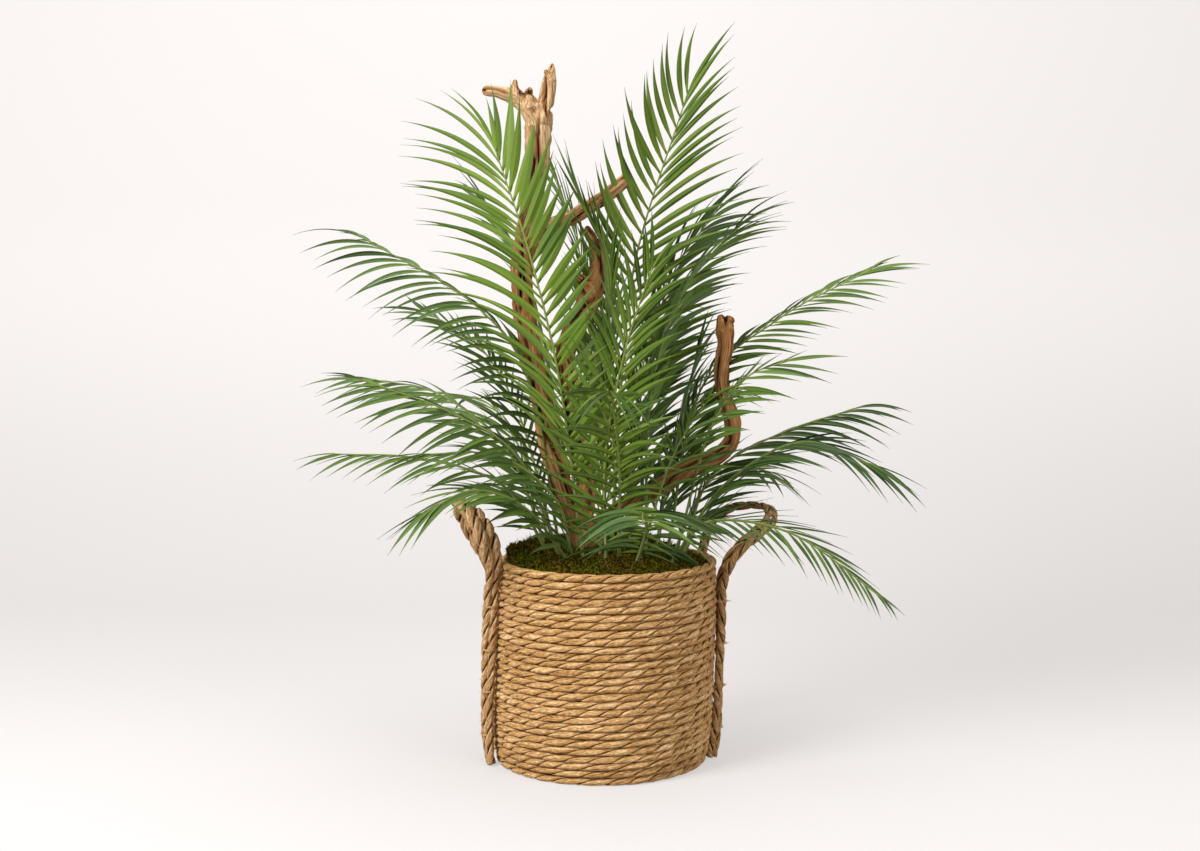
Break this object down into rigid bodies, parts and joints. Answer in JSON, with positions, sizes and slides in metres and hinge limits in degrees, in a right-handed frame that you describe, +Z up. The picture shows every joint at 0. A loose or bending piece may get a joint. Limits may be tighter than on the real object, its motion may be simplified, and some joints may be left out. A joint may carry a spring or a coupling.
{
  "type": "potted areca palm",
  "caption": "Potted areca palm with arching feathery fronds and a forked piece of driftwood, standing in a round coiled rope basket with two rope handles.",
  "frame": {"origin": "centre of the basket's underside, on the floor", "axes": "+Z up, +X to the viewer's right, -Y towards the viewer: the brightest tall frond leans to -X in front of the driftwood"},
  "size_m": [0.8795, 0.7304, 1.0044],
  "materials": {
    "rope": "matte",
    "plastic": "matte",
    "soil": "matte",
    "moss": "matte",
    "wood": "matte",
    "leaf": "satin"
  },
  "bodies": {
    "root": {"basket": "rope", "inner_pot": "plastic", "soil": "soil", "moss": "moss", "driftwood": "wood", "handle_left": "rope", "handle_right": "rope", "tie_left_front_1": "rope", "tie_left_front_2": "rope", "tie_left_front_3": "rope", "tie_left_front_4": "rope", "tie_left_back_1": "rope", "tie_left_back_2": "rope", "tie_left_back_3": "rope", "tie_left_back_4": "rope", "tie_right_front_1": "rope", "tie_right_front_2": "rope", "tie_right_front_3": "rope", "tie_right_front_4": "rope", "tie_right_back_1": "rope", "tie_right_back_2": "rope", "tie_right_back_3": "rope", "tie_right_back_4": "rope", "frond_tall_left": "leaf", "frond_tall_right": "leaf", "frond_left_high": "leaf", "frond_right_long": "leaf", "frond_left_mid": "leaf", "frond_left_low": "leaf", "frond_right_droop": "leaf", "frond_right_dark": "leaf", "frond_right_low_back": "leaf", "frond_right_mid": "leaf", "frond_left_front_low": "leaf", "frond_front_droop": "leaf", "frond_right_high": "leaf", "frond_back_right_high": "leaf", "frond_centre_front": "leaf", "frond_centre_upright": "leaf", "frond_left_mid_back": "leaf", "frond_back_left_high": "leaf", "frond_front_reach": "leaf", "frond_inner_left": "leaf", "frond_inner_right": "leaf", "frond_back_centre": "leaf", "frond_back_left_tall": "leaf", "frond_back_right_mid": "leaf", "frond_back_left_reach": "leaf", "frond_back_right_reach": "leaf", "frond_back_left_low": "leaf", "frond_back_right_low": "leaf", "frond_back_droop": "leaf", "frond_back_right_droop": "leaf"}
  },
  "joints": []
}
